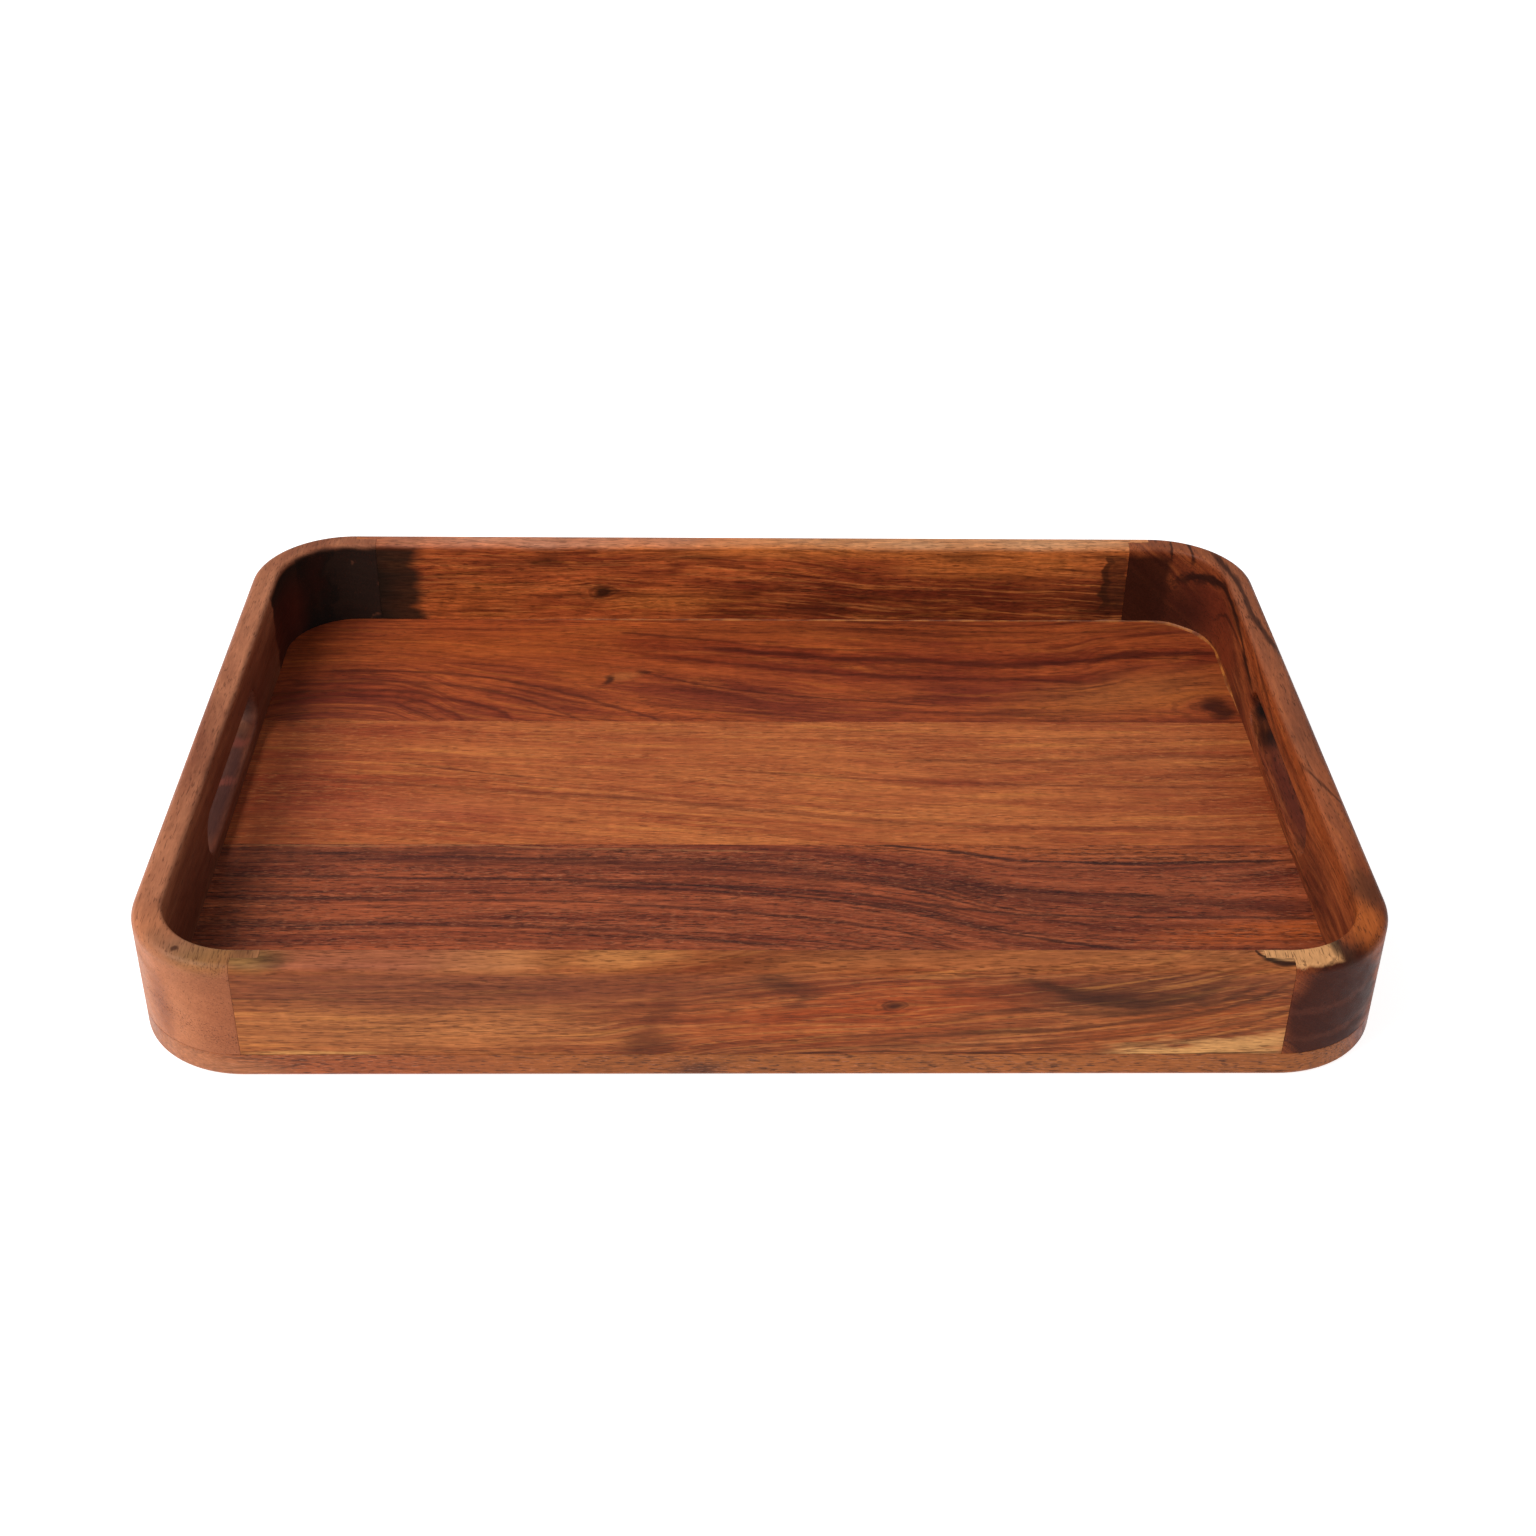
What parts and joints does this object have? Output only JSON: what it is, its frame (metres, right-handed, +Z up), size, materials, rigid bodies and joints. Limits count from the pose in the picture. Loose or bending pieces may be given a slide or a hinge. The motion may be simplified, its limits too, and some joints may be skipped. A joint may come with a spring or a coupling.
{
  "type": "serving tray",
  "caption": "Rectangular wooden serving tray with rounded corners, a raised rim and a hand slot through each end.",
  "frame": {"origin": "middle of the underside, on the surface that the tray stands on", "axes": "+X along the tray's length towards the right end, +Y towards the rear rail, +Z up out of the tray"},
  "size_m": [0.42, 0.298, 0.046],
  "materials": {
    "rear_plank_wood": "oiled satin",
    "middle_plank_wood": "oiled satin",
    "front_plank_wood": "oiled satin",
    "front_rail_wood": "oiled satin",
    "rear_rail_wood": "oiled satin",
    "left_end_wood": "oiled satin",
    "right_end_wood": "oiled satin"
  },
  "bodies": {
    "root": {"base_plank_rear": "rear_plank_wood", "base_plank_middle": "middle_plank_wood", "base_plank_front": "front_plank_wood", "front_rail": "front_rail_wood", "rear_rail": "rear_rail_wood", "left_end": "left_end_wood", "right_end": "right_end_wood"}
  },
  "joints": []
}
